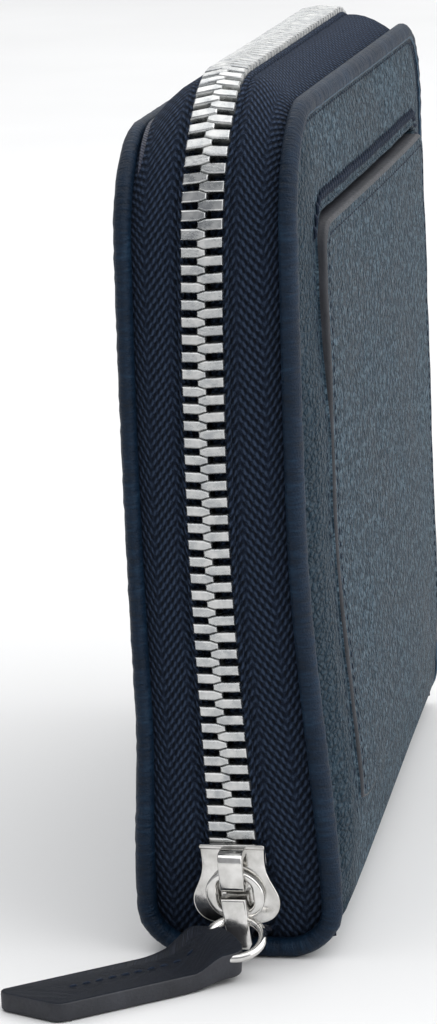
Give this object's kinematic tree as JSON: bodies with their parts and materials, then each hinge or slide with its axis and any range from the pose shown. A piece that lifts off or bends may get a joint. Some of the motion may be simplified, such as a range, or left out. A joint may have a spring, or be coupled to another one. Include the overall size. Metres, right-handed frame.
{
  "type": "zip around wallet",
  "caption": "Compact leather zip-around wallet standing on its spine, with an outside pocket, card pockets, a coin pocket and a leather-tabbed zip slider.",
  "frame": {"origin": "centre of the spine's flat underside, on which the closed wallet stands", "axes": "+X out of the front cover, the one with the outside pocket; +Y along the spine, away from the zip slider; +Z from the spine up to the zip"},
  "size_m": [0.0374, 0.1316, 0.103],
  "materials": {
    "shell_leather": "pebbled navy calf leather with a soft sheen",
    "edge_leather": "smooth turned edge, semi-gloss",
    "tab_leather": "grained charcoal-navy leather with painted edges",
    "inner_leather": "smooth split leather",
    "lining": "fine twill",
    "board": "raw stiffener board",
    "zip_tape": "herringbone woven polyester",
    "nickel": "polished nickel"
  },
  "bodies": {
    "spine": {"spine_leather": "shell_leather", "spine_board": "board", "spine_lining": "lining", "spine_rolled_edge_near": "edge_leather", "spine_rolled_edge_far": "edge_leather", "back_fold_leather": "shell_leather", "front_fold_leather": "shell_leather", "coin_wall_back": "inner_leather", "coin_wall_front": "inner_leather", "coin_gusset": "inner_leather", "coin_zip_tape_back": "zip_tape", "coin_zip_tape_front": "zip_tape", "coin_zip_teeth_back": "nickel", "coin_zip_teeth_front": "nickel"},
    "back_cover": {"back_cover_leather": "shell_leather", "back_board": "board", "back_lining": "lining", "back_rolled_edge": "edge_leather", "back_card_pocket_1": "inner_leather", "back_card_pocket_2": "inner_leather", "back_card_pocket_3": "inner_leather", "back_slip_pocket": "inner_leather", "back_zip_tape": "zip_tape", "back_zip_teeth": "nickel", "back_top_stop": "nickel", "bottom_stop": "nickel"},
    "front_cover": {"front_cover_leather": "shell_leather", "front_board": "board", "front_lining": "lining", "front_rolled_edge": "edge_leather", "pocket_backing": "lining", "pocket_panel": "shell_leather", "front_card_pocket_1": "inner_leather", "front_card_pocket_2": "inner_leather", "front_card_pocket_3": "inner_leather", "front_slip_pocket": "inner_leather", "front_zip_tape": "zip_tape", "front_zip_teeth": "nickel", "front_top_stop": "nickel"},
    "slider": {"slider_body": "nickel", "slider_crown": "nickel"},
    "puller": {"puller": "nickel"},
    "ring": {"jump_ring": "nickel"},
    "tab": {"tab_leather": "tab_leather"},
    "coin_slider": {"coin_slider": "nickel"},
    "coin_puller": {"coin_puller": "nickel"}
  },
  "joints": [
    {"name": "back_cover_hinge", "type": "hinge", "parent": "spine", "child": "back_cover", "pos_m": [-0.005, 0, 0.006], "axis": [0, -1, 0], "range_deg": [0, 90], "deforming": ["back_fold_leather"]},
    {"name": "front_cover_hinge", "type": "hinge", "parent": "spine", "child": "front_cover", "pos_m": [0.005, 0, 0.006], "axis": [0, 1, 0], "range_deg": [0, 90], "deforming": ["front_fold_leather"]},
    {"name": "slider_slide", "type": "slide", "parent": "back_cover", "child": "slider", "axis": [0, 0, 1], "range_m": [0, 0.07]},
    {"name": "puller_hinge", "type": "hinge", "parent": "slider", "child": "puller", "pos_m": [0, -0.0545, 0.0108], "axis": [-1, 0, 0], "range_deg": [0, 90]},
    {"name": "ring_hinge", "type": "hinge", "parent": "puller", "child": "ring", "pos_m": [0, -0.0552, 0.0057], "axis": [-1, 0, 0], "range_deg": [-30, 15]},
    {"name": "tab_hinge", "type": "hinge", "parent": "ring", "child": "tab", "pos_m": [-0.00199, -0.06066, 0.00338], "axis": [-0.5762, 0.8144, 0.0696], "range_deg": [0, 25]},
    {"name": "coin_slider_slide", "type": "slide", "parent": "spine", "child": "coin_slider", "axis": [0, 1, 0], "range_m": [0, 0.07]},
    {"name": "coin_puller_hinge", "type": "hinge", "parent": "coin_slider", "child": "coin_puller", "pos_m": [0, -0.039, 0.0822], "axis": [1, 0, 0], "range_deg": [0, 120]}
  ]
}
